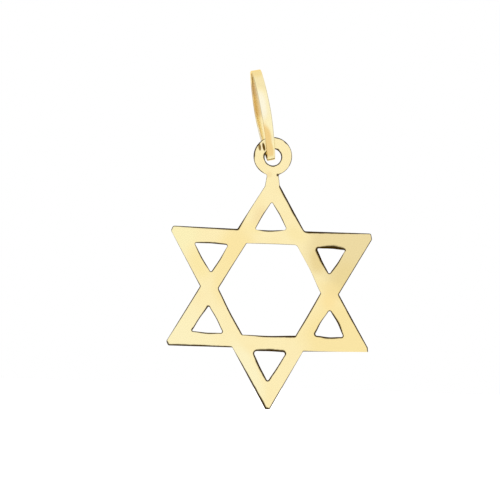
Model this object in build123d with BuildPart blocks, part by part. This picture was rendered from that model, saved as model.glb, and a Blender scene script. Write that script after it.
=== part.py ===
from build123d import *
from collections import namedtuple
from math import cos, radians, sin
import os

# A six-pointed star pendant: a flat pierced plate that hangs by its eye from a bail of flat band.
# Millimetres, +Z up, the star faces -Y. The origin is the chain's seat, inside the top of the bail.

# Plate
plate_thickness = 0.42
plate_edge_round = 0.07
star_centre_x = 1.60
star_centre_z = -16.24

# Eye above the top arm, and the stem between them, measured from the star's centre
eye_x = -0.11
eye_height = 10.03
eye_radius = 1.46
eye_hole_x = -0.10
eye_hole_height = 9.96
eye_hole_radius = 0.60
stem_x = -0.06
stem_top_width = 0.90
stem_top_height = 8.66
stem_foot_width = 1.18
stem_foot_height = 7.70
stem_eye_round = 0.12

# Bail: a lens-shaped loop of flat band with rounded ends, leaning left and turned a little
bail_lean = 11.9
bail_turn = 9.8
bail_length = 6.86
band_thickness = 0.20
band_width = 0.74
band_foot_width = 0.58
band_edge_round = 0.05
bail_crown_radius = 0.66
bail_foot_radius = 0.38
bail_side_radius = 5.30

# Arms clockwise from the top: the angle, the sharp tip's distance out and its shift clockwise,
# the lengths cut off along the two sides that meet there, and the radius left on the corners.
Arm = namedtuple("Arm", "angle out shift cut_before cut_after rounding")
arms = [
    Arm(0, 8.80, -0.03, 0.00, 0.00, 0.05),
    Arm(60, 9.04, -0.01, 0.43, 0.55, 0.10),
    Arm(120, 8.88, -0.07, 0.46, 0.22, 0.03),
    Arm(180, 9.25, -0.16, 0.36, 0.36, 0.06),
    Arm(240, 8.98, 0.08, 0.36, 0.40, 0.08),
    Arm(300, 9.04, 0.10, 0.37, 0.37, 0.15),
]

# Crossings of the bars, each clockwise of the arm above: the outer notch between two arms, then
# the corner of the hexagonal opening, both as distance out and shift clockwise, and the outward
# bow of the opening's side that runs clockwise from that corner.
Crossing = namedtuple("Crossing", "angle notch_out notch_shift notch_round out shift rounding bow")
crossings = [
    Crossing(30, 5.15, -0.13, 0.22, 3.93, -0.06, 0.30, 0.06),
    Crossing(90, 5.22, 0.13, 0.06, 3.80, 0.07, 0.07, 0.01),
    Crossing(150, 5.25, -0.06, 0.06, 3.90, -0.12, 0.05, 0.05),
    Crossing(210, 5.13, 0.09, 0.06, 3.88, -0.05, 0.09, 0.04),
    Crossing(270, 5.23, 0.12, 0.06, 3.80, 0.00, 0.14, 0.01),
    Crossing(330, 5.21, 0.03, 0.06, 3.88, 0.13, 0.05, 0.01),
]

# Windows pierced in the arms: apex, then the base corners on the anticlockwise and the clockwise
# side, as distance out and shift clockwise, with their radii and the outward bow of the sides.
Window = namedtuple("Window", "angle apex before after apex_round before_round after_round bow")
windows = [
    Window(0, (6.59, -0.06), (4.50, -1.23), (4.56, 1.13), 0.07, 0.09, 0.12, 0.03),
    Window(60, (6.39, 0.02), (4.61, -1.09), (4.57, 0.96), 0.05, 0.08, 0.09, 0.03),
    Window(120, (6.48, 0.04), (4.60, -1.13), (4.70, 1.02), 0.09, 0.17, 0.12, 0.06),
    Window(180, (6.77, -0.09), (4.62, -1.36), (4.60, 1.07), 0.12, 0.16, 0.25, 0.02),
    Window(240, (6.51, 0.03), (4.59, -1.15), (4.59, 1.05), 0.09, 0.19, 0.07, 0.04),
    Window(300, (6.61, 0.03), (4.48, -1.17), (4.48, 1.20), 0.10, 0.09, 0.08, 0.03),
]


def star_point(angle, out, shift):
    """A point of the star given by its distance out along an arm and its shift clockwise."""
    turn = radians(angle)
    return Vector(out * sin(turn) + shift * cos(turn), out * cos(turn) - shift * sin(turn))


def outline():
    """Corners of the star's outline, clockwise from the top arm, and the radius of each."""
    tips = [star_point(arm.angle, arm.out, arm.shift) for arm in arms]
    notches = [star_point(c.angle, c.notch_out, c.notch_shift) for c in crossings]
    corners = []
    radii = []
    for i, arm in enumerate(arms):
        tip = tips[i]
        if arm.cut_before:
            corners.append(tip + (notches[i - 1] - tip).normalized() * arm.cut_before)
            corners.append(tip + (notches[i] - tip).normalized() * arm.cut_after)
            radii += [arm.rounding, arm.rounding]
        else:
            corners.append(tip)
            radii.append(arm.rounding)
        corners.append(notches[i])
        radii.append(crossings[i].notch_round)
    return corners, radii


def opening(corners, radii, bows):
    """An opening's sketch: its corners run clockwise, and each side bows outward."""
    with BuildSketch() as sketch:
        with BuildLine():
            for start, end, bow in zip(corners, corners[1:] + corners[:1], bows):
                chord = end - start
                outward = Vector(-chord.Y, chord.X).normalized()
                ThreePointArc(start, (start + end) / 2 + outward * bow, end)
        make_face()
        for corner, radius in zip(corners, radii):
            fillet(vertices().sort_by_distance(corner)[0], radius)
    return sketch.sketch


def hexagon():
    """The large opening in the middle of the star."""
    corners = [star_point(c.angle, c.out, c.shift) for c in crossings]
    return opening(corners, [c.rounding for c in crossings], [c.bow for c in crossings])


def triangle(window):
    """The opening in one arm."""
    points = (window.apex, window.after, window.before)
    radii = [window.apex_round, window.after_round, window.before_round]
    return opening([star_point(window.angle, *point) for point in points], radii, [window.bow] * 3)


os.makedirs("parts", exist_ok=True)

# The star, its stem and its eye are one plate, cut through where it is pierced.
star_plane = Plane(origin=(star_centre_x, 0, star_centre_z), x_dir=(1, 0, 0), z_dir=(0, -1, 0))

with BuildPart() as star_plate:
    with BuildSketch(star_plane):
        corners, radii = outline()
        with BuildLine():
            FilletPolyline(*corners, radius=radii, close=True)
        make_face()
        with BuildLine():
            Polyline(
                (stem_x - stem_foot_width / 2, stem_foot_height),
                (stem_x - stem_top_width / 2, stem_top_height),
                (stem_x + stem_top_width / 2, stem_top_height),
                (stem_x + stem_foot_width / 2, stem_foot_height),
                close=True,
            )
        make_face()
        with Locations((eye_x, eye_height)):
            Circle(eye_radius)
        fillet(vertices().sort_by_distance((stem_x, stem_top_height))[:2], stem_eye_round)
        with Locations((eye_hole_x, eye_hole_height)):
            Circle(eye_hole_radius, mode=Mode.SUBTRACT)
        add(hexagon(), mode=Mode.SUBTRACT)
        for window in windows:
            add(triangle(window), mode=Mode.SUBTRACT)
    extrude(amount=plate_thickness / 2, both=True)
    rims = edges().filter_by(Axis.Y, reverse=True)
    fillet(rims, plate_edge_round)
star_plate.part.label = "star_plate"
export_step(star_plate.part, "parts/star_plate.step")


# The bail's loop is drawn in its own plane, X along its depth and Y up its length. The plane
# stands upright, is turned about its length so that its front half shows to the right of its
# back half, and then leans to the left.
bail_plane = Plane(
    origin=(0, 0, 0),
    x_dir=Vector(0, 1, 0).rotate(Axis.Z, bail_turn).rotate(Axis.Y, -bail_lean),
    z_dir=Vector(1, 0, 0).rotate(Axis.Z, bail_turn).rotate(Axis.Y, -bail_lean),
)
front_plane = Plane(origin=(0, 0, 0), x_dir=bail_plane.z_dir, z_dir=-bail_plane.x_dir)

loop_top = band_thickness
loop_foot = band_thickness - bail_length
loop_middle = (loop_top + loop_foot) / 2

with BuildPart() as bail:
    with BuildSketch(bail_plane):
        with BuildLine():
            crown_middle = (0, loop_top - bail_crown_radius)
            foot_middle = (0, loop_foot + bail_foot_radius)
            crown = CenterArc(crown_middle, bail_crown_radius, 0, 180, mode=Mode.PRIVATE)
            foot = CenterArc(foot_middle, bail_foot_radius, 180, 180, mode=Mode.PRIVATE)
            side = ConstrainedArcs(
                (crown, Tangency.ENCLOSING),
                (foot, Tangency.ENCLOSING),
                radius=bail_side_radius,
                selector=lambda arcs: arcs.sort_by(Axis.X)[-1],
            )
            mirror(about=Plane.YZ)
            side_ends = side.vertices().sort_by(Axis.Y)
            ThreePointArc((-side_ends[1].X, side_ends[1].Y), (0, loop_top), side_ends[1])
            ThreePointArc((-side_ends[0].X, side_ends[0].Y), (0, loop_foot), side_ends[0])
        make_face()
        offset(amount=-band_thickness, mode=Mode.SUBTRACT)
    extrude(amount=band_width / 2, both=True)
    with BuildSketch(front_plane):
        with BuildLine():
            Polyline(
                (-band_width / 2, loop_top),
                (band_width / 2, loop_top),
                (band_width / 2, loop_middle),
                (band_foot_width / 2, loop_foot),
                (-band_foot_width / 2, loop_foot),
                (-band_width / 2, loop_middle),
                close=True,
            )
        make_face()
    extrude(amount=bail_length, both=True, mode=Mode.INTERSECT)
    fillet(edges(), band_edge_round)
bail.part.label = "bail"
export_step(bail.part, "parts/bail.step")
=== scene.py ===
from math import acos, ceil, cos, pi, radians, sin, sqrt, tan

import bmesh
import bpy
import numpy as np
from mathutils import Matrix, Vector
from mathutils.geometry import delaunay_2d_cdt


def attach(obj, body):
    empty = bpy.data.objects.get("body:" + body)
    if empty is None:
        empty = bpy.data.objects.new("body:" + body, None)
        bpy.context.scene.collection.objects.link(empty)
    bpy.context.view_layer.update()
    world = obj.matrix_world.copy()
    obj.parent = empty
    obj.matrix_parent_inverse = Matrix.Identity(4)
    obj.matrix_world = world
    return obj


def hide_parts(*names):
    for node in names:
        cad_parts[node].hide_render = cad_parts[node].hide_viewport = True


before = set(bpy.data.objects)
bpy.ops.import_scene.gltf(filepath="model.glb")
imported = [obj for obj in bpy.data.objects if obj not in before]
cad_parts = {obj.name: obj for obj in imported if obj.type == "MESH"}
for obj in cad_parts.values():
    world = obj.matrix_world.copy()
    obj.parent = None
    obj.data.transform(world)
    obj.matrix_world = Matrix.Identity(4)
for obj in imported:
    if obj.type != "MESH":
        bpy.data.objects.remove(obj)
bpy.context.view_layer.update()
scene = bpy.context.scene
mm = 0.001
weld = 1e-7  # metres: points nearer than this are one point
print("frame loaded")


# node tree helpers

def addNode(tree, kind, **settings):
    node = tree.nodes.new(kind)
    for name, value in settings.items():
        setattr(node, name, value)
    return node


def feed(tree, socket, value):
    if isinstance(value, bpy.types.NodeSocket):
        tree.links.new(value, socket)
    else:
        socket.default_value = value


def calc(tree, operation, *values, clamp=False):
    node = addNode(tree, "ShaderNodeMath", operation=operation, use_clamp=clamp)
    for socket, value in zip(node.inputs, values):
        feed(tree, socket, value)
    return node.outputs[0]


def mapRange(tree, value, fromMin, fromMax, toMin, toMax, smooth=False):
    node = addNode(tree, "ShaderNodeMapRange", interpolation_type="SMOOTHSTEP" if smooth else "LINEAR")
    for name, item in zip(("Value", "From Min", "From Max", "To Min", "To Max"),
                          (value, fromMin, fromMax, toMin, toMax)):
        feed(tree, node.inputs[name], item)
    return node.outputs["Result"]


def newTree(name, kind, inputs, outputs):
    tree = bpy.data.node_groups.new(name, kind)
    for socketName, socketType, value in inputs:
        socket = tree.interface.new_socket(socketName, in_out="INPUT", socket_type=socketType)
        if value is not None:
            socket.default_value = value
    for socketName, socketType in outputs:
        tree.interface.new_socket(socketName, in_out="OUTPUT", socket_type=socketType)
    return tree, addNode(tree, "NodeGroupInput").outputs, addNode(tree, "NodeGroupOutput").inputs


def bakeNodes(obj, tree, values):
    # sets the inputs by identifier, then keeps the result as a plain mesh
    modifier = obj.modifiers.new(tree.name, "NODES")
    modifier.node_group = tree
    sockets = {item.name: item.identifier for item in tree.interface.items_tree if item.in_out == "INPUT"}
    for name, value in values.items():
        modifier[sockets[name]] = value
    bpy.context.view_layer.update()
    graph = bpy.context.evaluated_depsgraph_get()
    mesh = bpy.data.meshes.new_from_object(obj.evaluated_get(graph), depsgraph=graph)
    mesh.name = obj.name
    finished = bpy.data.objects.new(obj.name, mesh)
    obj.modifiers.remove(modifier)
    bpy.data.objects.remove(obj)
    finished.name = mesh.name
    scene.collection.objects.link(finished)
    return finished


def closeMesh(mesh):
    # one closed skin with its faces outward and smooth
    form = bmesh.new()
    form.from_mesh(mesh)
    bmesh.ops.remove_doubles(form, verts=form.verts, dist=weld)
    bmesh.ops.recalc_face_normals(form, faces=form.faces)
    openEdges = sum(1 for edge in form.edges if len(edge.link_faces) != 2)
    volume = form.calc_volume(signed=True)
    if volume < 0:
        bmesh.ops.reverse_faces(form, faces=form.faces)
    for face in form.faces:
        face.smooth = True
    form.to_mesh(mesh)
    form.free()
    print(f"  {mesh.name}: {len(mesh.polygons)} faces, {openEdges} open edges, {abs(volume) / mm ** 3:.2f} mm3")


# gold: a polished face with fine rubbing marks, a slow waviness and soft patches of painted reflection,
# highlight and shade

waveHeight = 0.12  # mm

starFinish = {
    "face": (0.945, 0.815, 0.462, 1),
    "deep": (0.90, 0.70, 0.33, 1),
    "roughness": 0.17,
    "wave": 0.35,
    "cut": (0.034, 0.017, 0.0015, 1),  # painted shade: a near-black band along the cut edges, standing for the dark reflection on the rims
    # the sawn wall: a matt colour, darkened partly as painted shade
    "wall": (0.60, 0.43, 0.20, 1),
    "cutRoughness": 0.42,
    # painted reflections, highlights and shade on the face: across and up from the star's centre, reach across
    # and up (mm), turn (degrees), core, colour, strength
    "paintedLightPatches": [
        (-7.0, -5.0, 5.5, 6.0, 0, 0.3, (0.944, 0.846, 0.513), 0.9),
        (-1.5, -6.3, 1.3, 3.0, 25, 0.5, (0.944, 0.856, 0.535), 0.95),
        (-7.2, 4.0, 2.4, 3.0, 0, 0.3, (0.930, 0.846, 0.480), 0.8),
        (-2.6, 2.9, 1.9, 2.6, 0, 0.3, (0.927, 0.753, 0.358), 0.9),
        (-3.6, 0.7, 1.0, 2.6, 0, 0.3, (0.925, 0.760, 0.370), 0.7),
        (-0.9, 5.4, 0.8, 1.3, -20, 0.2, (0.878, 0.703, 0.373), 0.7),
        (6.2, 3.4, 4.6, 3.6, 0, 0.55, (0.814, 0.674, 0.353), 1.0),
        (3.6, 2.4, 0.9, 1.3, 0, 0.3, (0.800, 0.633, 0.290), 0.8),
        (5.6, 0.9, 1.5, 2.0, 0, 0.3, (0.807, 0.653, 0.308), 0.9),
        (5.6, -3.4, 3.9, 3.6, 0, 0.5, (0.919, 0.753, 0.363), 0.95),
        (4.5, -0.6, 1.1, 1.1, 0, 0.2, (0.935, 0.739, 0.344), 0.9),
        (4.7, 0.2, 1.8, 0.8, -20, 0.2, (0.890, 0.710, 0.330), 0.7),
        (-5.3, 1.9, 1.2, 1.9, 30, 0.2, (0.925, 0.775, 0.370), 0.8),
        (1.9, 4.2, 1.4, 0.9, -30, 0.2, (0.915, 0.765, 0.380), 0.7),
        (-1.3, 4.6, 1.1, 0.7, 0, 0.2, (0.935, 0.785, 0.385), 0.7),
        (-0.35, 8.65, 0.4, 0.4, 0, 0.2, (0.880, 0.690, 0.360), 0.7),  # stem and eye from here on
        # a painted highlight on the eye
        (-0.97, 10.70, 0.12, 0.40, 6, 0.4, (0.950, 0.815, 0.540), 0.9),
        (-1.11, 10.67, 0.125, 0.31, 8, 0.6, (0.270, 0.175, 0.050), 1.0),  # two brown marks on the eye: painted shade from the bail
        (-0.81, 10.72, 0.115, 0.37, 14, 0.65, (0.120, 0.062, 0.006), 1.0),
        (0.31, 8.64, 0.14, 0.14, 0, 0.4, (0.100, 0.055, 0.015), 1.0),  # spot beside the stem
    ],
}

bailFinish = {
    "face": (0.95, 0.82, 0.47, 1),
    "deep": (0.90, 0.66, 0.30, 1),
    "roughness": 0.15,
    "wave": 0.2,
    # painted highlights and shade: across the band, through the loop (front is negative) and up it, reach the
    # same way (mm), core, colour, strength
    "paintedLightPatches": [
        (0, -0.4, 0.1, 0.9, 1.0, 0.7, 0.5, (0.930, 0.730, 0.330), 0.9),
        (0, -1.4, -2.6, 0.9, 0.8, 1.5, 0.5, (0.930, 0.830, 0.520), 1.0),
        (-0.2, -1.4, -2.5, 0.45, 0.8, 1.5, 0.3, (0.945, 0.885, 0.680), 1.0),
        (0.2, -1.2, -4.6, 0.6, 1.0, 1.6, 0.6, (0.950, 0.850, 0.520), 1.0),
        (0.3, -0.6, -6.0, 0.4, 1.0, 1.2, 0.6, (0.960, 0.850, 0.490), 1.0),
        (-0.37, -1.1, -5.0, 0.62, 1.0, 1.38, 0.60, (0.860, 0.615, 0.255), 1.0),
        (-0.24, -0.8, -6.1, 0.50, 1.1, 1.30, 0.75, (0.845, 0.615, 0.260), 1.0),
        (0, -0.2, -6.72, 0.9, 0.7, 0.55, 0.5, (0.910, 0.790, 0.420), 1.0),
        (0, 1.1, -1.2, 0.9, 0.9, 0.9, 0.5, (0.630, 0.460, 0.280), 0.9),
        (0, 1.4, -2.4, 0.9, 0.9, 1.2, 0.5, (0.740, 0.530, 0.260), 0.9),
        (-0.42, 1.2, -4.7, 0.26, 0.9, 1.15, 0.6, (0.990, 0.940, 0.760), 1.0),
        (-0.30, 0.3, -6.3, 0.14, 0.5, 0.7, 0.5, (0.120, 0.070, 0.020), 0.9),
    ],
}


def makeMarksGroup():
    tree, inputs, outputs = newTree("polishMarks", "ShaderNodeTree", [
        ("Wave Size", "NodeSocketFloat", 320.0),
        ("Mark Size", "NodeSocketFloat", 9000.0),
        ("Cloud Size", "NodeSocketFloat", 700.0),
    ], [("Wave", "NodeSocketFloat"), ("Marks", "NodeSocketFloat"), ("Cloud", "NodeSocketFloat")])
    place = addNode(tree, "ShaderNodeTexCoord").outputs["Object"]
    wave = addNode(tree, "ShaderNodeTexNoise")
    feed(tree, wave.inputs["Vector"], place)
    feed(tree, wave.inputs["Scale"], inputs["Wave Size"])
    feed(tree, wave.inputs["Detail"], 1.0)
    stretch = addNode(tree, "ShaderNodeMapping")
    feed(tree, stretch.inputs["Vector"], place)
    stretch.inputs["Rotation"].default_value = (0, 0.9, 0)
    stretch.inputs["Scale"].default_value = (1.0, 1.0, 0.06)
    marks = addNode(tree, "ShaderNodeTexNoise")
    feed(tree, marks.inputs["Vector"], stretch.outputs["Vector"])
    feed(tree, marks.inputs["Scale"], inputs["Mark Size"])
    feed(tree, marks.inputs["Detail"], 3.0)
    cloud = addNode(tree, "ShaderNodeTexNoise")
    feed(tree, cloud.inputs["Vector"], place)
    feed(tree, cloud.inputs["Scale"], inputs["Cloud Size"])
    feed(tree, cloud.inputs["Detail"], 2.0)
    feed(tree, outputs["Wave"], wave.outputs["Fac"])
    feed(tree, outputs["Marks"], marks.outputs["Fac"])
    feed(tree, outputs["Cloud"], cloud.outputs["Fac"])
    return tree


def makePatchGroup():
    # mask of one soft-edged patch of painted light or shade round a point, leaning about Y and turned about Z
    tree, inputs, outputs = newTree("paintedLightPatch", "ShaderNodeTree", [
        ("Middle", "NodeSocketVector", (0, 0, 0)),
        ("Reach", "NodeSocketVector", (0.001, 0.001, 0.001)),
        ("Lean", "NodeSocketFloat", 0.0),
        ("Turn", "NodeSocketFloat", 0.0),
        ("Core", "NodeSocketFloat", 0.25),
        ("Ragged", "NodeSocketFloat", 0.3),
        ("Strength", "NodeSocketFloat", 1.0),
    ], [("Mask", "NodeSocketFloat")])
    place = addNode(tree, "ShaderNodeTexCoord").outputs["Object"]
    offset = addNode(tree, "ShaderNodeVectorMath", operation="SUBTRACT")
    feed(tree, offset.inputs[0], place)
    feed(tree, offset.inputs[1], inputs["Middle"])
    level = addNode(tree, "ShaderNodeVectorRotate", rotation_type="Y_AXIS")
    feed(tree, level.inputs["Vector"], offset.outputs[0])
    feed(tree, level.inputs["Angle"], inputs["Lean"])
    square = addNode(tree, "ShaderNodeVectorRotate", rotation_type="Z_AXIS")
    feed(tree, square.inputs["Vector"], level.outputs[0])
    feed(tree, square.inputs["Angle"], calc(tree, "MULTIPLY", inputs["Turn"], -1.0))
    share = addNode(tree, "ShaderNodeVectorMath", operation="DIVIDE")
    feed(tree, share.inputs[0], square.outputs[0])
    feed(tree, share.inputs[1], inputs["Reach"])
    length = addNode(tree, "ShaderNodeVectorMath", operation="LENGTH")
    feed(tree, length.inputs[0], share.outputs[0])
    blur = addNode(tree, "ShaderNodeTexNoise")
    feed(tree, blur.inputs["Vector"], place)
    feed(tree, blur.inputs["Scale"], 600.0)
    feed(tree, blur.inputs["Detail"], 1.0)
    wander = calc(tree, "MULTIPLY", calc(tree, "SUBTRACT", blur.outputs["Fac"], 0.5), inputs["Ragged"])
    away = calc(tree, "ADD", length.outputs["Value"], wander)
    fade = mapRange(tree, away, inputs["Core"], 1.0, 1.0, 0.0, smooth=True)
    feed(tree, outputs["Mask"], calc(tree, "MULTIPLY", fade, inputs["Strength"]))
    return tree


def makeEdgeShadeGroup():
    # masks of the painted shade band along a cut edge, and of the sawn wall
    tree, inputs, outputs = newTree("cutEdge", "ShaderNodeTree", [
        ("Ragged", "NodeSocketFloat", 0.5),
        ("Soft", "NodeSocketFloat", 0.35),
    ], [("Band", "NodeSocketFloat"), ("Wall", "NodeSocketFloat")])
    away, width, wall = (addNode(tree, "ShaderNodeAttribute", attribute_name=name).outputs["Fac"]
                         for name in ("edgeDistance", "cutBand", "cutWall"))
    rough = addNode(tree, "ShaderNodeTexNoise")
    feed(tree, rough.inputs["Vector"], addNode(tree, "ShaderNodeTexCoord").outputs["Object"])
    feed(tree, rough.inputs["Scale"], 2200.0)
    feed(tree, rough.inputs["Detail"], 2.0)
    spread = calc(tree, "MULTIPLY", calc(tree, "SUBTRACT", rough.outputs["Fac"], 0.5), inputs["Ragged"])
    wander = calc(tree, "ADD", 1.0, spread)
    limit = calc(tree, "MULTIPLY", width, wander)
    inner = calc(tree, "MULTIPLY", limit, calc(tree, "SUBTRACT", 1.0, inputs["Soft"]))
    outer = calc(tree, "ADD", calc(tree, "MULTIPLY", limit, calc(tree, "ADD", 1.0, inputs["Soft"])), 1e-7)
    feed(tree, outputs["Band"], mapRange(tree, away, inner, outer, 1.0, 0.0, smooth=True))
    feed(tree, outputs["Wall"], wall)
    return tree


marksGroup, patchGroup, edgeShadeGroup = makeMarksGroup(), makePatchGroup(), makeEdgeShadeGroup()


def mixColour(tree, factor, first, second):
    node = addNode(tree, "ShaderNodeMix", data_type="RGBA")
    feed(tree, node.inputs["Factor"], factor)
    # a mix node has one set of sockets for each kind of value, and the colours are the last set
    for socket, value in zip([item for item in node.inputs if item.type == "RGBA"], (first, second)):
        feed(tree, socket, value)
    return [item for item in node.outputs if item.type == "RGBA"][0]


def makeGold(name, finish, paintedLightPatches):
    material = bpy.data.materials.new(name)
    material.use_nodes = True
    tree = material.node_tree
    shader = tree.nodes["Principled BSDF"]
    shader.inputs["Metallic"].default_value = 1.0
    shader.inputs["Specular Tint"].default_value = (1.0, 0.86, 0.55, 1)
    shader.inputs["Specular IOR Level"].default_value = 0.0
    marks = addNode(tree, "ShaderNodeGroup", node_tree=marksGroup)
    cloud = mapRange(tree, marks.outputs["Cloud"], 0.35, 0.75, 0.0, 0.2)
    colour = mixColour(tree, cloud, finish["face"], finish["deep"])
    # patches of painted reflection, highlight and shade laid over the gold's colour
    for middle, reach, lean, turn, core, tone, strength in paintedLightPatches:
        patch = addNode(tree, "ShaderNodeGroup", node_tree=patchGroup)
        patch.inputs["Middle"].default_value = [value * mm for value in middle]
        patch.inputs["Reach"].default_value = [value * mm for value in reach]
        patch.inputs["Lean"].default_value = radians(lean)
        patch.inputs["Turn"].default_value = radians(turn)
        patch.inputs["Core"].default_value = core
        patch.inputs["Strength"].default_value = strength
        colour = mixColour(tree, patch.outputs["Mask"], colour, (*tone, 1))
    smooth = finish["roughness"]
    roughness = mapRange(tree, marks.outputs["Marks"], 0.3, 0.7, smooth * 0.9, smooth * 1.1)
    if "cut" in finish:
        # painted shade: the edge band turns near-black and the sawn wall darker
        cut = addNode(tree, "ShaderNodeGroup", node_tree=edgeShadeGroup)
        colour = mixColour(tree, cut.outputs["Band"], colour, finish["cut"])
        colour = mixColour(tree, cut.outputs["Wall"], colour, finish["wall"])
        dull = calc(tree, "MAXIMUM", cut.outputs["Band"], cut.outputs["Wall"])
        roughness = mapRange(tree, dull, 0.0, 1.0, roughness, finish["cutRoughness"])
        # the painted shade band is not metallic, so it stays dark whichever way it faces
        shadeBandNonMetal = calc(tree, "MULTIPLY", cut.outputs["Band"], calc(tree, "SUBTRACT", 1.0, cut.outputs["Wall"]))
        tree.links.new(calc(tree, "SUBTRACT", 1.0, shadeBandNonMetal), shader.inputs["Metallic"])
    tree.links.new(colour, shader.inputs["Base Color"])
    tree.links.new(roughness, shader.inputs["Roughness"])
    bump = addNode(tree, "ShaderNodeBump")
    bump.inputs["Strength"].default_value = finish["wave"]
    bump.inputs["Distance"].default_value = waveHeight * mm
    feed(tree, bump.inputs["Height"], marks.outputs["Wave"])
    tree.links.new(bump.outputs["Normal"], shader.inputs["Normal"])
    return material


# star: a flat sheet cut to the star's outline, then given its thickness and soft rim

starPlate = {
    "centre": (1.60, -16.24),  # mm, across and up
    "thickness": 0.42,
    "trim": 0.02,  # taken off every cut edge in finishing
    "rim": 0.06,  # least and greatest rounding of the cut edges
    "widestRim": 0.12,
    "crown": 0.012,  # how far the face falls towards its edges
    "crownReach": 0.45,
    "eye": (-0.11, 10.03, 1.46),  # across, up, radius
    "eyeHole": (-0.10, 9.96, 0.60),
    "stem": (-0.06, 0.45, 8.66, 0.59, 7.70),  # middle, half width at the top, its height, at the foot
    "stemRounding": 0.12,  # where the stem meets the eye, then where it meets the top arm
    "armRounding": 0.12,
    # Every row ends with the width of the painted shade band on the side that follows it clockwise,
    # at the side's start, middle and end.
    # angle, sharp tip's distance out and shift, cut off before and after, rounding, band
    "arms": [
        (0, 8.8, -0.03, 0, 0, 0.05, (0.107, 0.141, 0.086)),
        (60, 9.04, -0.01, 0.36, 0.55, 0.18, (0.053, 0.06, 0.07)),
        (120, 8.88, -0.07, 0.40, 0.17, 0.03, (0.0, 0.009, 0.062)),
        (180, 9.25, -0.16, 0.36, 0.36, 0.06, (0.156, 0.117, 0.011)),
        (240, 8.98, 0.08, 0.36, 0.4, 0.17, (0.026, 0.064, 0.066)),
        (300, 9.04, 0.1, 0.46, 0.37, 0.20, (0.059, 0.091, 0.112)),
    ],
    # angle, notch out and shift, rounding, band
    "notches": [
        (30, 5.15, -0.13, 0.22, (0.14, 0.109, 0.046)),
        (90, 5.22, 0.13, 0.06, (0.093, 0.105, 0.071)),
        (150, 5.25, -0.06, 0.06, (0.015, 0.052, 0.073)),
        (210, 5.13, 0.09, 0.06, (0.089, 0.128, 0.115)),
        (270, 5.23, 0.12, 0.06, (0.056, 0.029, 0.007)),
        (330, 5.21, 0.03, 0.06, (0.129, 0.031, 0.029)),
    ],
    # angle, out, shift, rounding, bow of the side that follows, band
    "hexagon": [
        (30, 3.93, -0.06, 0.3, 0.06, (0.007, 0.004, 0.025)),
        (90, 3.8, 0.07, 0.07, 0.01, (0.069, 0.091, 0.065)),
        (150, 3.9, -0.12, 0.05, 0.05, (0.148, 0.103, 0.037)),
        (210, 3.88, -0.05, 0.09, 0.04, (0.098, 0.099, 0.077)),
        (270, 3.8, 0.0, 0.14, 0.01, (0.072, 0.052, 0.043)),
        (330, 3.88, 0.13, 0.05, 0.01, (0.018, 0.029, 0.025)),
    ],
    # angle, bow, then apex, base corner after and base corner before: out, shift, rounding, band
    "windows": [
        (0, 0.03, (6.59, -0.06, 0.07, (0.033, 0.063, 0.029)),
         (4.56, 1.13, 0.12, (0.02, 0.107, 0.0)), (4.5, -1.23, 0.09, (0.057, 0.057, 0.033))),
        (60, 0.03, (6.39, 0.02, 0.05, (0.02, 0.093, 0.063)),
         (4.52, 1.02, 0.07, (0.085, 0.155, 0.187)), (4.61, -1.09, 0.08, (0.115, 0.25, 0.145))),
        (120, 0.06, (6.54, 0.04, 0.09, (0.099, 0.122, 0.095)),
         (4.65, 1.08, 0.12, (0.13, 0.061, 0.06)), (4.6, -1.13, 0.10, (0.08, 0.133, 0.067))),
        (180, 0.02, (6.80, -0.09, 0.07, (0.101, 0.15, 0.096)),
         (4.6, 1.07, 0.17, (0.127, 0.181, 0.158)), (4.62, -1.40, 0.14, (0.062, 0.083, 0.094))),
        (240, 0.04, (6.54, 0.03, 0.04, (0.104, 0.075, 0.139)),
         (4.58, 1.07, 0.05, (0.054, 0.061, 0.066)), (4.59, -1.18, 0.10, (0.053, 0.085, 0.047))),
        (300, 0.03, (6.61, 0.03, 0.06, (0.069, 0.113, 0.075)),
         (4.44, 1.2, 0.08, (0.015, 0.079, 0.064)), (4.45, -1.17, 0.07, (0.04, 0.086, 0.038))),
    ],
    # width of the painted shade band round the eye and round its hole, by angle clockwise from the top
    "eyeBand": [
        (0, 0.04), (8, 0.085), (20, 0.06), (30, 0.045), (40, 0.09), (50, 0.045), (60, 0.035), (100, 0.045),
        (110, 0.06), (120, 0.025), (140, 0.035), (150, 0.025), (160, 0.09), (168, 0.02), (180, 0),
        (200, 0.015), (210, 0.06), (250, 0.045), (260, 0.06), (270, 0.11), (280, 0.09), (310, 0.09),
        (325, 0.04), (360, 0.04),
    ],
    "holeBand": [
        (0, 0.07), (15, 0.09), (28, 0.15), (40, 0.08), (50, 0.10), (60, 0.09), (90, 0.09), (110, 0.065),
        (130, 0.08), (150, 0.08), (170, 0.10), (180, 0.09), (200, 0.07), (215, 0.085), (230, 0.07),
        (240, 0.055), (250, 0.09), (262, 0.12), (285, 0.12), (298, 0.08), (310, 0.05), (360, 0.07),
    ],
    "stemBands": (0.02, 0.05),  # painted shade band, left and right of the stem, where it meets the eye
    "spacing": 0.09,  # mm between points along the cut edges
    "fineShare": 0.6,  # of the spacing, on the eye's curves
    "gridShare": 1.5,  # of the spacing, on the open face
    "edgeRows": (0.12, 0.35, 0.65, 1.0, 1.4, 2.1),  # rows of points inside an edge, in widths of its band
}


def starPoint(angle, out, shift):
    turn = radians(angle)
    return Vector((out * sin(turn) + shift * cos(turn), out * cos(turn) - shift * sin(turn)))


def bandAt(band, t):
    # a smooth curve through the widths at the start, the middle and the end of a side
    first, middle, last = band
    return max(0, first * (1 - t) * (1 - 2 * t) + middle * 4 * t * (1 - t) + last * t * (2 * t - 1))


def bandAround(band, angle):
    return float(np.interp(angle % 360, [row[0] for row in band], [row[1] for row in band]))


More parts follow.
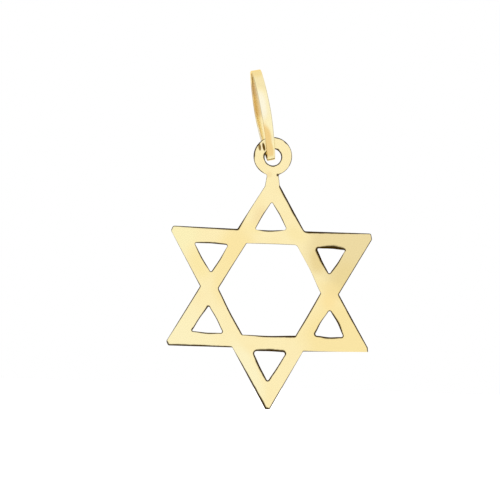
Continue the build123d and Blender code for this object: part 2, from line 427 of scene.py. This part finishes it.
def roundedLoop(corners, roundings, bows, bands, spacing):
    # a closed clockwise line of (x, y, band): straight or bowed sides and an arc at each corner
    count = len(corners)
    arcs = []
    for i, corner in enumerate(corners):
        arrive = (corner - corners[i - 1]).normalized()
        leave = (corners[(i + 1) % count] - corner).normalized()
        turn = arrive.angle_signed(leave)  # clockwise is positive
        if roundings[i] == 0 or abs(turn) < 1e-4:
            arcs.append([corner.copy()])
            continue
        setback = roundings[i] * tan(abs(turn) / 2)
        inward = Vector((arrive.y, -arrive.x)) * (1 if turn > 0 else -1)
        middle = corner - arrive * setback + inward * roundings[i]
        spoke = -inward * roundings[i]
        steps = max(3, ceil(abs(turn) / radians(12)))
        arcs.append([middle + Matrix.Rotation(-turn * k / steps, 2) @ spoke for k in range(steps + 1)])
    line = []
    for i, arc in enumerate(arcs):
        before, after = bands[i - 1][2], bands[i][0]
        line += [(*point, before + (after - before) * (k + 0.5) / len(arc)) for k, point in enumerate(arc)]
        start, end = arc[-1], arcs[(i + 1) % count][0]
        length = (end - start).length
        outward = Vector((-(end - start).y, (end - start).x)) / max(length, 1e-9)
        steps = max(1, round(length / spacing))
        for k in range(1, steps):
            point = start.lerp(end, k / steps) + outward * bows[i] * sin(pi * k / steps) ** 2
            line.append((*point, bandAt(bands[i], k / steps)))
    return line


def arcPoints(centre, start, end, clockwise, spacing):
    spoke = start - centre
    turn = spoke.angle_signed(end - centre) % (2 * pi)
    turn = turn if clockwise else turn - 2 * pi
    steps = max(5, ceil(abs(turn) * spoke.length / spacing))
    return [centre + Matrix.Rotation(-turn * k / steps, 2) @ spoke for k in range(steps)]


def starOutline(star):
    # clockwise from the right of the stem, round the star to the stem's left, then round the eye
    eye, radius = Vector(star["eye"][:2]), star["eye"][2]
    middle, topHalf, topHeight, footHalf, footHeight = star["stem"]
    small = star["stemRounding"]
    arms, notches = star["arms"], star["notches"]
    tips = [starPoint(*arm[:3]) for arm in arms]
    dips = [starPoint(*notch[:3]) for notch in notches]
    ends = []
    for side, dip in ((1, dips[0]), (-1, dips[-1])):
        top, foot = Vector((middle + side * topHalf, topHeight)), Vector((middle + side * footHalf, footHeight))
        down, armSide = (foot - top).normalized(), dip - tips[0]
        foot = top + down * (tips[0] - top).cross(armSide) / down.cross(armSide)
        outward = Vector((-down.y, down.x)) * side
        # centre of the small arc between the stem and the eye
        reach = top + outward * small - eye
        along = reach.dot(down)
        centre = eye + reach + down * (sqrt(along ** 2 - reach.length_squared + (radius + small) ** 2) - along)
        ends.append((foot, centre, eye + (centre - eye) * radius / (radius + small), centre - outward * small))
    right, left = ends
    leftBand, rightBand = star["stemBands"]
    thin = (leftBand,) * 3
    corners, roundings, bands = [right[3], right[0]], [0, star["armRounding"]], [thin, arms[0][6]]
    for i in range(6):
        if i:
            tip, (_, _, _, cutBefore, cutAfter, rounding, band) = tips[i], arms[i]
            if cutBefore:
                corners.append(tip + (dips[i - 1] - tip).normalized() * cutBefore)
                corners.append(tip + (dips[i] - tip).normalized() * cutAfter)
                roundings += [rounding, rounding]
                across = max(bands[-1][2], band[0])
                bands += [(across, across, across), band]
            else:
                corners.append(tip)
                roundings.append(rounding)
                bands.append(band)
        corners.append(dips[i])
        roundings.append(notches[i][3])
        bands.append(notches[i][4])
    corners += [left[0], left[3]]
    roundings += [star["armRounding"], 0]
    bands += [thin, thin]
    body = roundedLoop(corners, roundings, [0] * len(corners), bands, star["spacing"])
    stop = min(range(len(body)), key=lambda k: (Vector(body[k][:2]) - left[3]).length)
    fine = star["spacing"] * star["fineShare"]
    ring = arcPoints(eye, left[2], right[2], True, fine)
    ringBands = [bandAround(star["eyeBand"], -(p - eye).angle_signed(Vector((0, 1))) * 180 / pi) for p in ring]
    line = body[:stop]
    line += [(*p, leftBand) for p in arcPoints(left[1], left[3], left[2], False, fine)]
    line += [(*p, band) for p, band in zip(ring, ringBands)]
    line += [(*p, rightBand) for p in arcPoints(right[1], right[2], right[3], False, fine)]
    return line


def starOpenings(star):
    spacing = star["spacing"]
    loops = []
    for angle, bow, *corners in star["windows"]:
        loops.append(roundedLoop([starPoint(angle, *row[:2]) for row in corners], [row[2] for row in corners],
                                 [bow] * 3, [row[3] for row in corners], spacing))
    rows = star["hexagon"]
    loops.append(roundedLoop([starPoint(*row[:3]) for row in rows], [row[3] for row in rows],
                             [row[4] for row in rows], [row[5] for row in rows], spacing))
    across, up, radius = star["eyeHole"]
    steps = ceil(2 * pi * radius / (spacing * star["fineShare"]))
    hole = []
    for turn in [360 * k / steps for k in range(steps)]:
        x, y = across + radius * sin(radians(turn)), up + radius * cos(radians(turn))
        hole.append((x, y, bandAround(star["holeBand"], turn)))
    return loops + [hole]


def insideLoops(points, loops):
    # even and odd crossings, so that a point in an opening counts as outside
    inside = np.zeros(len(points), bool)
    for loop in loops:
        for (ax, ay), (bx, by) in zip(loop[:, :2], np.roll(loop[:, :2], -1, axis=0)):
            if ay != by:
                crosses = (points[:, 1] >= min(ay, by)) & (points[:, 1] < max(ay, by))
                inside ^= crosses & (points[:, 0] < ax + (points[:, 1] - ay) * (bx - ax) / (by - ay))
    return inside


def nearestEdge(points, loops):
    # distance to the nearest cut edge, and the painted shade band's width there
    start = np.concatenate([loop[:, :2] for loop in loops])
    run = np.concatenate([np.roll(loop[:, :2], -1, axis=0) - loop[:, :2] for loop in loops])
    band = np.concatenate([loop[:, 2] for loop in loops])
    away, width = np.empty(len(points)), np.empty(len(points))
    for first in range(0, len(points), 1500):
        part = points[first:first + 1500, None, :]
        t = np.clip(((part - start) * run).sum(2) / (run * run).sum(1), 0, 1)
        gap = np.linalg.norm(part - start - t[:, :, None] * run, axis=2)
        best = gap.argmin(axis=1)
        away[first:first + 1500] = gap.min(axis=1)
        width[first:first + 1500] = band[best]
    return away, width


def cutSheet(star):
    # a flat sheet of near-even triangles, with rows of points that follow every cut edge
    loops, normals = [], []
    for loop in [starOutline(star)] + starOpenings(star):
        line = np.array(loop)
        along = np.roll(line[:, :2], -1, axis=0) - np.roll(line[:, :2], 1, axis=0)
        along /= np.linalg.norm(along, axis=1)[:, None]
        normal = np.stack([along[:, 1], -along[:, 0]], axis=1) * (-1 if loops else 1)
        line[:, :2] += normal * star["trim"]
        loops.append(line)
        normals.append(normal)
    rows = []
    for share in star["edgeRows"]:
        for line, normal in zip(loops, normals):
            inset = np.maximum(line[:, 2], star["rim"]) * share
            moved = line[:, :2] + normal * inset[:, None]
            rows.append(moved[(nearestEdge(moved, loops)[0] > inset * 0.97) & insideLoops(moved, loops)])
    edgePoints = np.concatenate([line[:, :2] for line in loops])
    low, high = edgePoints.min(0), edgePoints.max(0)
    step = star["spacing"] * star["gridShare"]
    grid = np.array([(x, y) for j, y in enumerate(np.arange(low[1], high[1], step * 0.866))
                     for x in np.arange(low[0] + (j % 2) * step / 2, high[0], step)])
    grid = grid[insideLoops(grid, loops)]
    away, width = nearestEdge(grid, loops)
    grid = grid[away > np.maximum(width, star["rim"]) * star["edgeRows"][-1] + step * 0.5]
    points = np.concatenate([edgePoints] + rows + [grid])
    edges, first = [], 0
    for line in loops:
        edges += [(first + k, first + (k + 1) % len(line)) for k in range(len(line))]
        first += len(line)
    cut = delaunay_2d_cdt([Vector(p) for p in points.tolist()], edges, [], 0, 1e-6)
    flat = np.array([tuple(v) for v in cut[0]])
    faces = np.array([tuple(f) for f in cut[2]])
    return flat, faces[insideLoops(flat[faces].mean(axis=1), loops)], nearestEdge(flat, loops)[1]


def makeReliefTree():
    tree, inputs, outputs = newTree("plateRelief", "GeometryNodeTree", [
        ("Sheet", "NodeSocketGeometry", None),
        ("Thickness", "NodeSocketFloat", 0.0004),
        ("Rim", "NodeSocketFloat", 0.0001),
        ("Widest Rim", "NodeSocketFloat", 0.0001),
        ("Crown", "NodeSocketFloat", 0.00001),
        ("Crown Reach", "NodeSocketFloat", 0.0005),
        ("Material", "NodeSocketMaterial", None),
    ], [("Plate", "NodeSocketGeometry")])
    tree.is_modifier = True
    # distance of each point from the nearest cut edge
    cutEdges = addNode(tree, "GeometryNodeSeparateGeometry", domain="EDGE")
    neighbours = addNode(tree, "GeometryNodeInputMeshEdgeNeighbors")
    border = addNode(tree, "FunctionNodeCompare", data_type="INT", operation="EQUAL")
    feed(tree, border.inputs[2], neighbours.outputs[0])
    feed(tree, border.inputs[3], 1)
    feed(tree, cutEdges.inputs["Geometry"], inputs["Sheet"])
    feed(tree, cutEdges.inputs["Selection"], border.outputs[0])
    near = addNode(tree, "GeometryNodeProximity", target_element="EDGES")
    feed(tree, near.inputs[0], cutEdges.outputs["Selection"])
    kept = addNode(tree, "GeometryNodeStoreNamedAttribute", data_type="FLOAT", domain="POINT")
    feed(tree, kept.inputs["Geometry"], inputs["Sheet"])
    feed(tree, kept.inputs["Name"], "edgeDistance")
    feed(tree, kept.inputs["Value"], near.outputs["Distance"])
    distance = addNode(tree, "GeometryNodeInputNamedAttribute", data_type="FLOAT")
    feed(tree, distance.inputs["Name"], "edgeDistance")
    away = distance.outputs[0]
    # rounded rim, as wide as the painted shade band where that is wider, then a face that falls very slightly
    band = addNode(tree, "GeometryNodeInputNamedAttribute", data_type="FLOAT")
    feed(tree, band.inputs["Name"], "cutBand")
    bandRim = calc(tree, "MINIMUM", calc(tree, "MULTIPLY", band.outputs[0], 0.8), inputs["Widest Rim"])
    rimWidth = calc(tree, "MAXIMUM", inputs["Rim"], bandRim)
    inward = calc(tree, "DIVIDE", away, rimWidth, clamp=True)
    slack = calc(tree, "SUBTRACT", 1.0, inward)
    arc = calc(tree, "SQRT", calc(tree, "SUBTRACT", 1.0, calc(tree, "MULTIPLY", slack, slack)))
    drop = calc(tree, "MULTIPLY", rimWidth, calc(tree, "SUBTRACT", 1.0, arc))
    reach = calc(tree, "DIVIDE", away, inputs["Crown Reach"], clamp=True)
    slope = calc(tree, "SUBTRACT", 1.0, reach)
    crown = calc(tree, "MULTIPLY", inputs["Crown"], calc(tree, "MULTIPLY", slope, slope))
    middle = calc(tree, "MULTIPLY", inputs["Thickness"], 0.5)
    half = calc(tree, "SUBTRACT", calc(tree, "SUBTRACT", middle, drop), crown)
    sides = []
    for sign in (-1.0, 1.0):
        lift = addNode(tree, "ShaderNodeCombineXYZ")
        feed(tree, lift.inputs["Y"], calc(tree, "MULTIPLY", half, sign))
        move = addNode(tree, "GeometryNodeSetPosition")
        feed(tree, move.inputs["Geometry"], kept.outputs["Geometry"])
        feed(tree, move.inputs["Offset"], lift.outputs[0])
        sides.append(move.outputs["Geometry"])
    # the sawn wall joins the two faces: each point of its far edge is moved by its own thickness
    wall = addNode(tree, "GeometryNodeExtrudeMesh", mode="EDGES")
    rim = addNode(tree, "GeometryNodeSeparateGeometry", domain="EDGE")
    feed(tree, rim.inputs["Geometry"], sides[0])
    feed(tree, rim.inputs["Selection"], border.outputs[0])
    feed(tree, wall.inputs["Mesh"], rim.outputs["Selection"])
    feed(tree, wall.inputs["Offset Scale"], 0.0)
    across = addNode(tree, "ShaderNodeCombineXYZ")
    feed(tree, across.inputs["Y"], calc(tree, "MULTIPLY", half, 2.0))
    farEdge = addNode(tree, "GeometryNodeSetPosition")
    feed(tree, farEdge.inputs["Geometry"], wall.outputs["Mesh"])
    feed(tree, farEdge.inputs["Selection"], wall.outputs["Top"])
    feed(tree, farEdge.inputs["Offset"], across.outputs[0])
    sawn = addNode(tree, "GeometryNodeStoreNamedAttribute", data_type="FLOAT", domain="FACE")
    feed(tree, sawn.inputs["Geometry"], farEdge.outputs["Geometry"])
    feed(tree, sawn.inputs["Name"], "cutWall")
    feed(tree, sawn.inputs["Value"], 1.0)
    join = addNode(tree, "GeometryNodeJoinGeometry")
    for part in (sides[0], sides[1], sawn.outputs["Geometry"]):
        tree.links.new(part, join.inputs[0])
    merge = addNode(tree, "GeometryNodeMergeByDistance")
    feed(tree, merge.inputs["Geometry"], join.outputs[0])
    feed(tree, merge.inputs["Distance"], weld)
    real = addNode(tree, "GeometryNodeRealizeInstances")
    feed(tree, real.inputs[0], merge.outputs[0])
    finish = addNode(tree, "GeometryNodeSetMaterial")
    feed(tree, finish.inputs["Geometry"], real.outputs[0])
    feed(tree, finish.inputs["Material"], inputs["Material"])
    feed(tree, outputs["Plate"], finish.outputs["Geometry"])
    return tree


def starPatches(star, finish):
    # middle and reach in the plate's own place, through the whole thickness
    across, up = star["centre"]
    return [((x + across, 0, z + up), (reachX, 9, reachZ), turn, 0, core, tone, strength)
            for x, z, reachX, reachZ, turn, core, tone, strength in finish["paintedLightPatches"]]


def makeStar(star, gold):
    flat, faces, bands = cutSheet(star)
    across, up = star["centre"]
    mesh = bpy.data.meshes.new("starPlate")
    mesh.from_pydata([((x + across) * mm, 0, (y + up) * mm) for x, y in flat], [], faces.tolist())
    mesh.attributes.new("cutBand", "FLOAT", "POINT").data.foreach_set("value", (bands * mm).astype(np.float32))
    sheet = bpy.data.objects.new("starPlate", mesh)
    scene.collection.objects.link(sheet)
    plate = bakeNodes(sheet, makeReliefTree(), {
        "Thickness": star["thickness"] * mm,
        "Rim": star["rim"] * mm,
        "Widest Rim": star["widestRim"] * mm,
        "Crown": star["crown"] * mm,
        "Crown Reach": star["crownReach"] * mm,
        "Material": gold,
    })
    closeMesh(plate.data)
    return plate


starGold = makeGold("starGold", starFinish, starPatches(starPlate, starFinish))
starPiece = makeStar(starPlate, starGold)
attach(starPiece, "star")
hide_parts("star_plate")
print("star made")


# bail: a flat band that follows a closed loop, a little narrower at its foot

bailBand = {
    "lean": 11.9,
    "turn": 9.8,
    "length": 6.86,
    "thickness": 0.20,
    "width": 0.74,
    "footWidth": 0.58,
    "edgeRound": 0.06,
    "crownRadius": 0.66,
    "footRadius": 0.38,
    "sideRadius": 5.30,
    "spacing": 0.035,  # mm between points of the loop
}


def bailPath(bail):
    # middle line of the band in its own plane, across and up, from the crown round to the crown again
    half = bail["thickness"] / 2
    top, foot = bail["thickness"], bail["thickness"] - bail["length"]
    crownY, footY = top - bail["crownRadius"], foot + bail["footRadius"]
    big = bail["sideRadius"]
    # centre of the long side arc, which holds both small circles inside it
    a, b, span = big - bail["crownRadius"], big - bail["footRadius"], crownY - footY
    fromCrown = (a * a - b * b + span * span) / (2 * span)
    sideY = crownY - fromCrown
    sideX = -sqrt(a * a - fromCrown ** 2)
    crownAngle = acos(fromCrown / a)  # of the joint between crown and side, above level at its own centre
    crownTurn = pi / 2 - crownAngle
    footTurn = pi / 2 - acos((span - fromCrown) / b)
    points = []
    for centre, radius, start, end in (
        ((0, crownY), bail["crownRadius"] - half, pi / 2, crownTurn),
        ((sideX, sideY), big - half, crownTurn, -footTurn),
        ((0, footY), bail["footRadius"] - half, -footTurn, -pi / 2),
    ):
        steps = max(12, ceil(abs(end - start) * radius / bail["spacing"]))
        points += [(centre[0] + radius * cos(start + (end - start) * k / steps),
                    centre[1] + radius * sin(start + (end - start) * k / steps)) for k in range(steps)]
    points.append((0, foot + half))
    return points + [(-x, y) for x, y in points[-2:0:-1]]


def makeBandTree():
    tree, inputs, outputs = newTree("bandOnLoop", "GeometryNodeTree", [
        ("Loop", "NodeSocketGeometry", None),
        ("Width", "NodeSocketFloat", 0.0007),
        ("Foot Width", "NodeSocketFloat", 0.0006),
        ("Thickness", "NodeSocketFloat", 0.0002),
        ("Edge Round", "NodeSocketFloat", 0.00005),
        ("Middle Height", "NodeSocketFloat", -0.003),
        ("Foot Height", "NodeSocketFloat", -0.006),
        ("Lean", "NodeSocketFloat", 0.2),
        ("Turn", "NodeSocketFloat", 0.2),
        ("Material", "NodeSocketMaterial", None),
    ], [("Band", "NodeSocketGeometry")])
    tree.is_modifier = True
    path = addNode(tree, "GeometryNodeMeshToCurve")
    feed(tree, path.inputs["Mesh"], inputs["Loop"])
    upright = addNode(tree, "GeometryNodeSetCurveNormal")
    feed(tree, upright.inputs["Curve"], path.outputs[0])
    # section of the band: a rectangle with rounded corners
    section = addNode(tree, "GeometryNodeCurvePrimitiveQuadrilateral")
    feed(tree, section.inputs["Width"], inputs["Width"])
    feed(tree, section.inputs["Height"], inputs["Thickness"])
    soft = addNode(tree, "GeometryNodeFilletCurve")
    soft.mode = "POLY"
    feed(tree, soft.inputs["Curve"], section.outputs[0])
    feed(tree, soft.inputs["Radius"], inputs["Edge Round"])
    feed(tree, soft.inputs["Count"], 5)
    fine = addNode(tree, "GeometryNodeSubdivideCurve")
    feed(tree, fine.inputs["Curve"], soft.outputs[0])
    feed(tree, fine.inputs["Cuts"], 1)
    sweep = addNode(tree, "GeometryNodeCurveToMesh")
    feed(tree, sweep.inputs["Curve"], upright.outputs[0])
    feed(tree, sweep.inputs["Profile Curve"], fine.outputs[0])
    # narrower towards the foot
    where = addNode(tree, "ShaderNodeSeparateXYZ")
    feed(tree, where.inputs[0], addNode(tree, "GeometryNodeInputPosition").outputs[0])
    share = calc(tree, "DIVIDE", inputs["Foot Width"], inputs["Width"])
    factor = mapRange(tree, where.outputs["Z"], inputs["Foot Height"], inputs["Middle Height"], share, 1.0)
    narrow = addNode(tree, "ShaderNodeCombineXYZ")
    feed(tree, narrow.inputs["X"], calc(tree, "MULTIPLY", where.outputs["X"], factor))
    feed(tree, narrow.inputs["Y"], where.outputs["Y"])
    feed(tree, narrow.inputs["Z"], where.outputs["Z"])
    taper = addNode(tree, "GeometryNodeSetPosition")
    feed(tree, taper.inputs["Geometry"], sweep.outputs[0])
    feed(tree, taper.inputs["Position"], narrow.outputs[0])
    turned = taper.outputs["Geometry"]
    for axis, angle in (("Z", inputs["Turn"]), ("Y", calc(tree, "MULTIPLY", inputs["Lean"], -1.0))):
        rotation = addNode(tree, "ShaderNodeCombineXYZ")
        feed(tree, rotation.inputs[axis], angle)
        place = addNode(tree, "GeometryNodeTransform")
        feed(tree, place.inputs["Geometry"], turned)
        feed(tree, place.inputs["Rotation"], rotation.outputs[0])
        turned = place.outputs[0]
    real = addNode(tree, "GeometryNodeRealizeInstances")
    feed(tree, real.inputs[0], turned)
    finish = addNode(tree, "GeometryNodeSetMaterial")
    feed(tree, finish.inputs["Geometry"], real.outputs[0])
    feed(tree, finish.inputs["Material"], inputs["Material"])
    feed(tree, outputs["Band"], finish.outputs["Geometry"])
    return tree


def bailPatches(bail, finish):
    # from the loop's own directions to where the bail hangs
    place = Matrix.Rotation(-radians(bail["lean"]), 3, "Y") @ Matrix.Rotation(radians(bail["turn"]), 3, "Z")
    return [(place @ Vector(row[:3]), row[3:6], bail["lean"], bail["turn"], *row[6:])
            for row in finish["paintedLightPatches"]]


def makeBail(bail, gold):
    points = bailPath(bail)
    mesh = bpy.data.meshes.new("bailBand")
    count = len(points)
    edges = [(k, (k + 1) % count) for k in range(count)]
    mesh.from_pydata([(0, x * mm, y * mm) for x, y in points], edges, [])
    loop = bpy.data.objects.new("bailBand", mesh)
    scene.collection.objects.link(loop)
    foot = bail["thickness"] - bail["length"]
    band = bakeNodes(loop, makeBandTree(), {
        "Width": bail["width"] * mm,
        "Foot Width": bail["footWidth"] * mm,
        "Thickness": bail["thickness"] * mm,
        "Edge Round": bail["edgeRound"] * mm,
        "Middle Height": (bail["thickness"] + foot) / 2 * mm,
        "Foot Height": foot * mm,
        "Lean": radians(bail["lean"]),
        "Turn": radians(bail["turn"]),
        "Material": gold,
    })
    closeMesh(band.data)
    return band


bailGold = makeGold("bailGold", bailFinish, bailPatches(bailBand, bailFinish))
bailPiece = makeBail(bailBand, bailGold)
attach(bailPiece, "bail")
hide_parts("bail")
print("bail made")


# studio: pale floor, soft surround that is bright before and behind the pendant and dim at its sides

studio = {
    "floorHeight": -0.075,
    "floorSize": 4.0,
    "front": 1.05,
    "side": 0.22,
    "above": 0.92,
    "below": 1.0,
    # how far a direction turns to the front, up and down while its light grows from none to full
    "frontRange": (0.15, 0.75),
    "aboveRange": (0.3, 0.85),
    "belowRange": (-0.1, -0.6),
}


def makeStudio(room):
    mesh = bpy.data.meshes.new("floor")
    half = room["floorSize"] / 2
    corners = [(-half, -half), (half, -half), (half, half), (-half, half)]
    mesh.from_pydata([(x, y, room["floorHeight"]) for x, y in corners], [], [(0, 1, 2, 3)])
    floor = bpy.data.objects.new("floor", mesh)
    scene.collection.objects.link(floor)
    paper = bpy.data.materials.new("palePaper")
    paper.use_nodes = True
    shader = paper.node_tree.nodes["Principled BSDF"]
    shader.inputs["Base Color"].default_value = (0.9, 0.9, 0.9, 1)
    shader.inputs["Roughness"].default_value = 0.8
    shader.inputs["Emission Color"].default_value = (1, 1, 1, 1)
    shader.inputs["Emission Strength"].default_value = 0.6
    mesh.materials.append(paper)
    floor.visible_glossy = False

    world = bpy.data.worlds.new("studio")
    scene.world = world
    world.use_nodes = True
    tree = world.node_tree
    surround = tree.nodes["Background"]
    direction = addNode(tree, "ShaderNodeSeparateXYZ")
    feed(tree, direction.inputs[0], addNode(tree, "ShaderNodeTexCoord").outputs["Generated"])
    towards = calc(tree, "ABSOLUTE", direction.outputs["Y"])
    facing = mapRange(tree, towards, *room["frontRange"], 0.0, 1.0, smooth=True)
    above = mapRange(tree, direction.outputs["Z"], *room["aboveRange"], 0.0, room["above"], smooth=True)
    below = mapRange(tree, direction.outputs["Z"], *room["belowRange"], 0.0, room["below"], smooth=True)
    lit = calc(tree, "MAXIMUM", facing, calc(tree, "MAXIMUM", above, below))
    level = mapRange(tree, lit, 0.0, 1.0, room["side"], room["front"])
    rays = addNode(tree, "ShaderNodeLightPath")
    strength = addNode(tree, "ShaderNodeMix", data_type="FLOAT")
    feed(tree, strength.inputs["Factor"], rays.outputs["Is Camera Ray"])
    feed(tree, strength.inputs["A"], level)
    feed(tree, strength.inputs["B"], 1.0)
    tree.links.new(strength.outputs["Result"], surround.inputs["Strength"])
    surround.inputs["Color"].default_value = (1, 1, 1, 1)


makeStudio(studio)


# camera: a long lens level with the pendant, rolled as the photograph is

photoView = {
    "aim": (0.032, -13.282),  # mm, what the middle of the frame shows
    "width": 37.445,
    "distance": 400.0,
    "roll": 2.02,
    "sensor": 36.0,
}


def makeCamera(view):
    lens = bpy.data.cameras.new("camera")
    lens.sensor_width = view["sensor"]
    lens.lens = view["sensor"] * view["distance"] / view["width"]
    lens.clip_start = 0.01
    lens.clip_end = 20.0
    camera = bpy.data.objects.new("camera", lens)
    scene.collection.objects.link(camera)
    roll = radians(view["roll"])
    right, up = Vector((cos(roll), 0, sin(roll))), Vector((-sin(roll), 0, cos(roll)))
    back = Vector((0, -1, 0))
    place = Matrix((right, up, back)).transposed().to_4x4()
    place.translation = Vector((view["aim"][0], -view["distance"], view["aim"][1])) * mm
    camera.matrix_world = place
    bpy.context.scene.camera = camera


makeCamera(photoView)
scene.view_settings.view_transform = "Standard"
print("studio made")
